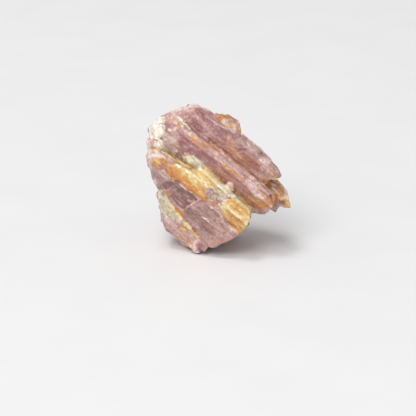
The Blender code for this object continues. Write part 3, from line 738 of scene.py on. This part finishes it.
def fine_copy(node):
    """A copy of the node's mesh, made again from even small faces."""
    piece = bpy.data.objects.new("stone", node.data.copy())
    bpy.context.scene.collection.objects.link(piece)
    remesh = piece.modifiers.new("fine", "REMESH")
    remesh.mode = "VOXEL"
    remesh.voxel_size = VOXEL
    graph = bpy.context.evaluated_depsgraph_get()
    mesh = bpy.data.meshes.new_from_object(piece.evaluated_get(graph))
    piece.modifiers.clear()
    piece.data = mesh
    return piece


def write_values(mesh, name, values):
    kind = "FLOAT" if values.ndim == 1 else "FLOAT_VECTOR"
    attribute = mesh.attributes.new(name, kind, "POINT")
    attribute.data.foreach_set("value" if values.ndim == 1 else "vector", values.ravel().astype(np.float32))


def carve(piece):
    """Rounds the fine mesh's edges, gives it its relief and writes the minerals' shares on it."""
    mesh = piece.data
    places, normals, edges = read_mesh(mesh)
    places = spread(places, edges, ROUND_EDGES)
    normals = spread(normals, edges, ROUND_EDGES)
    normals /= np.linalg.norm(normals, axis=1)[:, None]
    bundle = to_bundle(places)
    picture = to_picture(places)
    seen = seen_from_camera(mesh, places, normals, edges)
    valley = np.sum((spread(places, edges, VALLEY_ROUNDS) - places) * normals, axis=1) / MM
    surface = Surface(len(places))
    lay_hidden(surface, bundle, valley)
    surface.lay("mauve", seen)
    lay_seen(surface, bundle, picture, seen)
    surface.stain_rims()
    outward = relief(bundle, normals, surface)[:, None] * normals * MM
    backward = cut_depth(bundle, picture, seen)[:, None] * -np.array(TOWARD) * MM
    moved = places + outward + backward
    moved[:, 2] = np.maximum(moved[:, 2], 0.0)
    mesh.vertices.foreach_set("co", moved.ravel())
    mesh.update()
    moved, normals, edges = read_mesh(mesh)
    rise = np.sum((moved - spread(moved, edges, RIDGE_ROUNDS)) * normals, axis=1) / MM
    write_values(mesh, "place", bundle)
    # The hollow mask carries a brown stain and painted shade in the creases
    write_values(mesh, "hollow", step(-rise, 0.02, 0.25))
    write_values(mesh, "ridge", step(rise, 0.02, 0.25))
    write_values(mesh, "rust", surface.rust)
    for family, share in surface.layered_shares():
        write_values(mesh, family + "_share", share)
        write_values(mesh, family + "_tone", surface.tone[family])
    mesh.shade_smooth()


# Materials


def colour(red, green, blue):
    """A screen colour from 0 to 255 as the linear colour that a shader takes."""
    linear = [((value / 255 + 0.055) / 1.055) ** 2.4 for value in (red, green, blue)]
    return (*linear, 1.0)


# Each family's colours from its darkest tone to its palest: tone, red, green and blue
RAMPS = {
    "pink": [(0.0, 155, 99, 99), (0.35, 184, 139, 137), (0.65, 211, 175, 169), (1.0, 241, 224, 217)],
    "plum": [(0.0, 132, 93, 90), (0.35, 172, 134, 127), (0.65, 200, 167, 158), (1.0, 230, 211, 202)],
    "ochre": [(0.0, 205, 132, 68), (0.3, 216, 163, 92), (0.55, 224, 192, 127), (0.8, 235, 214, 157),
        (1.0, 245, 232, 200)],
    "quartz": [(0.0, 148, 116, 96), (0.35, 198, 179, 142), (0.65, 222, 209, 184), (1.0, 246, 241, 231)],
}
# What rust and the hollows multiply the colours by; in the hollows this is a brown stain and painted shade
RUST_TINT = (1.0, 0.84, 0.44, 1.0)
HOLLOW_STAIN_AND_SHADE_TINT = (0.9, 0.72, 0.6, 1.0)

# Each family's fine pattern: how much each noise moves its tone
UNEVEN = {
    "pink": {"cloud": 0.18, "streak": 0.2, "lines": 0.2, "frost": 0.2, "fine": 0.22, "cells": 0.1},
    "plum": {"cloud": 0.18, "streak": 0.14, "lines": 0.14, "frost": 0.18, "fine": 0.2, "cells": 0.1},
    "ochre": {"cloud": 0.25, "streak": 0.2, "lines": 0.1, "frost": 0.22, "fine": 0.2, "cells": 0.1},
    "quartz": {"cloud": 0.2, "streak": 0.1, "lines": 0.0, "frost": 0.35, "fine": 0.22, "cells": 0.25},
}
# How much each noise breaks up the borders between minerals
RAGGED = {"streak": 0.6, "frost": 0.7, "fine": 0.45, "cells": 0.3}
# How much each noise breaks up the rust
RUSTED = {"frost": 0.6, "streak": 0.5, "fine": 0.5}
# Between which levels a border and the rust fade in
BORDER_EDGE = (0.3, 0.7)
RUST_EDGE = (0.2, 0.9)
# Each noise: how many waves a millimetre has along, across and toward, its detail and its roughness
NOISE_SHAPES = {
    "cloud": ((0.14, 0.3, 0.3), 3.0, 0.55),
    "streak": ((0.12, 1.1, 1.1), 4.0, 0.6),
    "frost": ((0.7, 1.1, 1.1), 4.0, 0.65),
    "fine": ((1.8, 2.6, 2.6), 3.0, 0.6),
}
LINE_SHAPE = ((0.05, 2.6, 2.6), 2.0, 0.5)
# How many small flats, and pale flecks that are partly painted glints, a millimetre has along, across and
# toward
FLAT_SCALE = (0.6, 1.0, 1.0)
FLECK_AND_GLINT_SCALE = (1.5, 2.1, 2.1)
# How much paler the ridges are, and the scattered flecks, which are partly white grains and partly painted
# glints
RIDGES = 0.15
PALE_FLECKS_AND_GLINTS = 0.16
# How rough the gloss is, from the glassy spots to the frosted ones, and how strongly the stone bends light
GLASSY = 0.26
FROSTED = 0.52
REFRACTION = 1.6
# How much of the light scatters inside, and how many millimetres of red, green and blue
SCATTER = 0.15
SCATTER_RADIUS = (1.0, 0.5, 0.35)
# Bumps: depth in millimetres and strength
FLAT_BUMP = (0.45, 0.8)
LINE_BUMP = (0.12, 0.6)
FROST_BUMP = (0.11, 0.8)

FLOOR_COLOURS = [colour(231, 231, 231), colour(229, 229, 230)]
FLOOR_NOISE = ((30.0, 30.0, 30.0), 3.0, 0.5)
FLOOR_ROUGHNESS = 0.7


class Graph:
    """A material's nodes, added and linked one by one."""

    def __init__(self, name):
        self.material = bpy.data.materials.new(name)
        self.material.use_nodes = True
        self.tree = self.material.node_tree
        self.shader = self.tree.nodes["Principled BSDF"]

    def add(self, kind, inputs, **settings):
        node = self.tree.nodes.new(kind)
        for name, value in settings.items():
            setattr(node, name, value)
        for name, value in inputs.items():
            self.feed(node.inputs[name], value)
        return node

    def feed(self, socket, value):
        if isinstance(value, bpy.types.NodeSocket):
            self.tree.links.new(value, socket)
        else:
            socket.default_value = value

    def attribute(self, name, output="Fac"):
        return self.add("ShaderNodeAttribute", {}, attribute_name=name).outputs[output]

    def math(self, operation, *values):
        return self.add("ShaderNodeMath", dict(enumerate(values)), operation=operation).outputs[0]

    def vector(self, operation, *values, output=0):
        node = self.add("ShaderNodeVectorMath", dict(enumerate(values)), operation=operation)
        return node.outputs[output]

    def remap(self, value, low, high, start=0.0, end=1.0):
        sockets = {"Value": value, "From Min": low, "From Max": high, "To Min": start, "To Max": end}
        return self.add("ShaderNodeMapRange", sockets, interpolation_type="SMOOTHSTEP").outputs[0]

    def mix(self, share, first, second, blend="MIX"):
        sockets = {0: share, 6: first, 7: second}
        return self.add("ShaderNodeMix", sockets, data_type="RGBA", blend_type=blend).outputs[2]

    def offset(self, value, pattern, amount):
        """The value moved up and down by a pattern that runs from 0 to 1."""
        return self.math("ADD", value, self.math("MULTIPLY_ADD", pattern, amount, -amount / 2))

    def uneven(self, value, patterns, amounts):
        """The value moved up and down by several patterns."""
        for name, amount in amounts.items():
            value = self.offset(value, patterns[name], amount)
        return value

    def ramp(self, value, stops):
        node = self.add("ShaderNodeValToRGB", {0: value})
        band = node.color_ramp.elements
        for position, _, _, _ in stops[1:-1]:
            band.new(position)
        for element, (position, *shade) in zip(band, stops):
            element.position = position
            element.color = colour(*shade)
        return node.outputs[0]

    def noise(self, vector, scale, detail, roughness):
        """Noise along the vector's axes, spread out to run from 0 to 1."""
        place = self.vector("MULTIPLY", vector, scale)
        sockets = {"Vector": place, "Scale": 1.0, "Detail": detail, "Roughness": roughness}
        return self.remap(self.add("ShaderNodeTexNoise", sockets).outputs[0], 0.3, 0.7)

    def cells(self, vector, scale):
        """A random number for each cell of a broken pattern, and the height of a tilted flat through it."""
        place = self.vector("MULTIPLY", vector, scale)
        cell = self.add("ShaderNodeTexVoronoi", {"Vector": place, "Scale": 1.0})
        slant = self.vector("SUBTRACT", cell.outputs["Color"], (0.5, 0.5, 0.5))
        away = self.vector("SUBTRACT", place, cell.outputs["Position"])
        return cell.outputs["Color"], self.vector("DOT_PRODUCT", slant, away, output="Value")

    def bump(self, height, distance, strength, normal=None):
        sockets = {"Height": height, "Distance": distance * MM, "Strength": strength}
        if normal is not None:
            sockets["Normal"] = normal
        return self.add("ShaderNodeBump", sockets).outputs[0]

    def finish(self, inputs):
        """Gives the shader its inputs."""
        for name, value in inputs.items():
            self.feed(self.shader.inputs[name], value)
        return self.material


def stone_material():
    graph = Graph("rough_tourmaline")
    place = graph.attribute("place", "Vector")
    wander = graph.add("ShaderNodeTexNoise", {"Vector": place, "Scale": 0.9, "Detail": 2.0}).outputs[1]
    bent = graph.vector("MULTIPLY_ADD", wander, (0.9, 0.9, 0.9), place)
    patterns = {name: graph.noise(bent, *shape) for name, shape in NOISE_SHAPES.items()}
    patterns["lines"] = graph.noise(place, *LINE_SHAPE)
    patterns["cells"], flats = graph.cells(bent, FLAT_SCALE)
    # Scattered pale flecks, partly white grains and partly painted glints
    flecks_and_glints = graph.cells(bent, FLECK_AND_GLINT_SCALE)[0]
    pale = graph.math("MULTIPLY", graph.attribute("ridge"), RIDGES)
    pale = graph.math("ADD", pale, graph.remap(flecks_and_glints, 0.68, 0.78, 0.0, PALE_FLECKS_AND_GLINTS))
    own = {}
    for family in FAMILIES:
        tone = graph.math("ADD", graph.attribute(family + "_tone"), pale)
        own[family] = graph.ramp(graph.uneven(tone, patterns, UNEVEN[family]), RAMPS[family])
    rust = graph.uneven(graph.attribute("rust"), patterns, RUSTED)
    mixed = graph.mix(graph.remap(rust, *RUST_EDGE), own["pink"], RUST_TINT, "MULTIPLY")
    ragged = graph.uneven(0.0, patterns, RAGGED)
    for family in FAMILIES[1:]:
        share = graph.attribute(family + "_share")
        border = graph.math("MULTIPLY", share, graph.math("SUBTRACT", 1.0, share))
        border = graph.math("MULTIPLY", border, 4.0)
        share = graph.math("ADD", share, graph.math("MULTIPLY", ragged, border))
        mixed = graph.mix(graph.remap(share, *BORDER_EDGE), mixed, own[family])
    # The hollows darker and browner: a stain and painted shade in the creases
    mixed = graph.mix(graph.attribute("hollow"), mixed, HOLLOW_STAIN_AND_SHADE_TINT, "MULTIPLY")
    normal = graph.bump(flats, *FLAT_BUMP)
    normal = graph.bump(patterns["lines"], *LINE_BUMP, normal)
    normal = graph.bump(patterns["frost"], *FROST_BUMP, normal)
    return graph.finish({
        "Base Color": mixed,
        "Roughness": graph.remap(patterns["frost"], 0.2, 0.8, GLASSY, FROSTED),
        "IOR": REFRACTION,
        "Subsurface Weight": SCATTER,
        "Subsurface Radius": SCATTER_RADIUS,
        "Subsurface Scale": MM,
        "Normal": normal,
    })


def floor_material():
    graph = Graph("pale_floor")
    place = graph.add("ShaderNodeTexCoord", {}).outputs["Object"]
    shade = graph.mix(graph.noise(place, *FLOOR_NOISE), *FLOOR_COLOURS)
    return graph.finish({"Base Color": shade, "Roughness": FLOOR_ROUGHNESS})


# The studio


FLOOR_SIZE = 6.0
WORLD_STRENGTH = 0.45
# Lights: place, side in metres and watts
LIGHTS = {
    "key": ((-0.8, -0.25, 3.1), 1.1, 38.0),
    "fill": ((-1.1, -2.2, 2.4), 2.0, 62.0),
}


def add_floor():
    bpy.ops.mesh.primitive_plane_add(size=FLOOR_SIZE)
    floor = bpy.context.object
    floor.name = "floor"
    floor.data.materials.append(floor_material())


def add_light(name, place, size, power):
    data = bpy.data.lights.new(name, "AREA")
    data.size = size
    data.energy = power
    light = bpy.data.objects.new(name, data)
    light.location = place
    light.rotation_euler = (AIM - light.location).to_track_quat("-Z", "Y").to_euler()
    bpy.context.scene.collection.objects.link(light)


def add_studio():
    world = bpy.data.worlds.new("studio")
    world.use_nodes = True
    background = world.node_tree.nodes["Background"]
    background.inputs["Color"].default_value = (1.0, 1.0, 1.0, 1.0)
    background.inputs["Strength"].default_value = WORLD_STRENGTH
    bpy.context.scene.world = world
    bpy.context.scene.view_settings.view_transform = "Standard"
    for name, (place, size, power) in LIGHTS.items():
        add_light(name, place, size, power)


def add_camera():
    data = bpy.data.cameras.new("camera")
    data.sensor_width = SENSOR
    data.lens = SENSOR * CAMERA_DISTANCE / (PICTURE_POINTS * POINT_SIZE)
    camera = bpy.data.objects.new("camera", data)
    turn = Matrix((RIGHT, UP, TOWARD)).transposed().to_4x4()
    camera.matrix_world = Matrix.Translation(AIM + TOWARD * CAMERA_DISTANCE) @ turn
    bpy.context.scene.collection.objects.link(camera)
    bpy.context.scene.camera = camera


def add_stone():
    stone = fine_copy(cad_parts["tourmaline"])
    carve(stone)
    stone.data.materials.clear()
    stone.data.materials.append(stone_material())
    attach(stone, "root")
    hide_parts("tourmaline")


add_camera()
add_floor()
add_studio()
add_stone()
